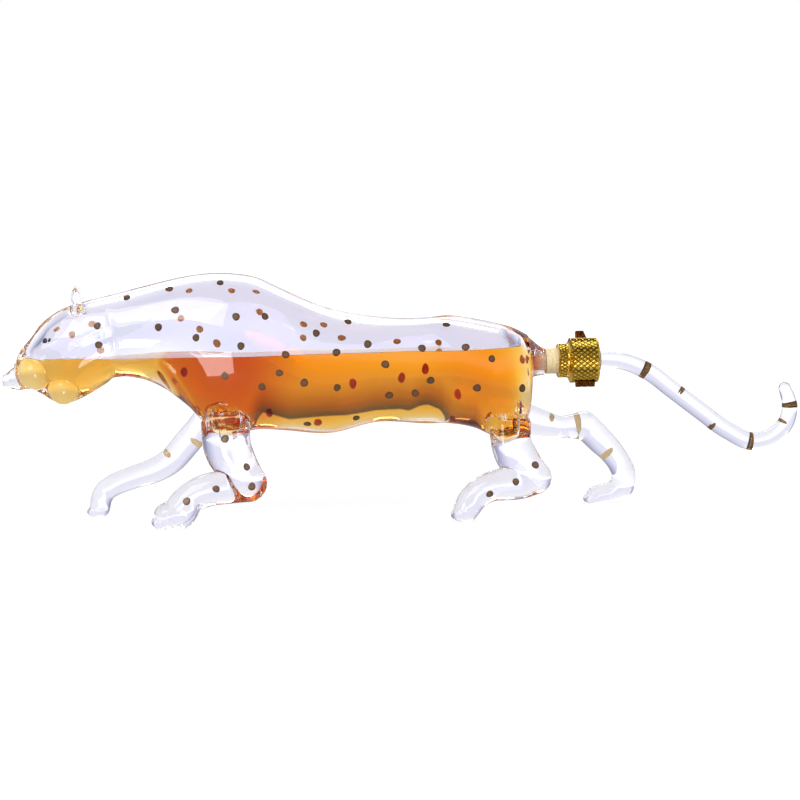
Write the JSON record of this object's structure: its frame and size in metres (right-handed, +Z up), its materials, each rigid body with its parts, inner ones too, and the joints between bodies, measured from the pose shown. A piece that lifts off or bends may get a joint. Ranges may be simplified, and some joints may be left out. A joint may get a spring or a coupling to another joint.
{
  "type": "figural liquor decanter",
  "caption": "Blown glass decanter shaped as a prowling leopard on solid glass legs, part filled, with its glass tail as the handle of a corked stopper behind a hinged gilt collar.",
  "frame": {"origin": "middle of the outline on the table, under the standing animal", "axes": "+X towards the tail and along the neck's axis, -Y towards the animal's left side, +Z up"},
  "size_m": [0.4976, 0.0813, 0.1541],
  "materials": {
    "clear_glass": "clear",
    "amber_liquor": "clear",
    "black_enamel": "gloss",
    "gilt_enamel": "satin",
    "cork": "matte",
    "cream_resin": "matte",
    "gilt_brass": "polished",
    "dark_brass": "polished",
    "grey_rubber": "matte"
  },
  "bodies": {
    "decanter": {"glass_body": "clear_glass", "nose_tip": "clear_glass", "left_ear": "clear_glass", "right_ear": "clear_glass", "front_left_leg": "clear_glass", "front_right_leg": "clear_glass", "rear_left_leg": "clear_glass", "rear_right_leg": "clear_glass", "liquor": "amber_liquor", "left_eye": "black_enamel", "right_eye": "black_enamel", "left_side_spots": "gilt_enamel", "right_side_spots": "gilt_enamel", "front_left_leg_spots": "gilt_enamel", "front_right_leg_spots": "gilt_enamel", "rear_left_leg_spots": "gilt_enamel", "rear_right_leg_spots": "gilt_enamel"},
    "stopper": {"cork": "cork", "stopper_core": "cream_resin", "collar_rear_half": "gilt_brass", "hinge_pin": "dark_brass", "catch_tab": "dark_brass", "tail": "clear_glass", "tail_ring": "grey_rubber", "tail_bands": "gilt_enamel"},
    "collar_front": {"collar_front_half": "gilt_brass"}
  },
  "joints": [
    {"name": "stopper_pull", "type": "slide", "parent": "decanter", "child": "stopper", "axis": [1, 0, 0], "range_m": [0, 0.04]},
    {"name": "collar_hinge", "type": "hinge", "parent": "stopper", "child": "collar_front", "pos_m": [0.1121, -0.00569, 0.08091], "axis": [1, 0, 0], "range_deg": [0, 100]}
  ]
}
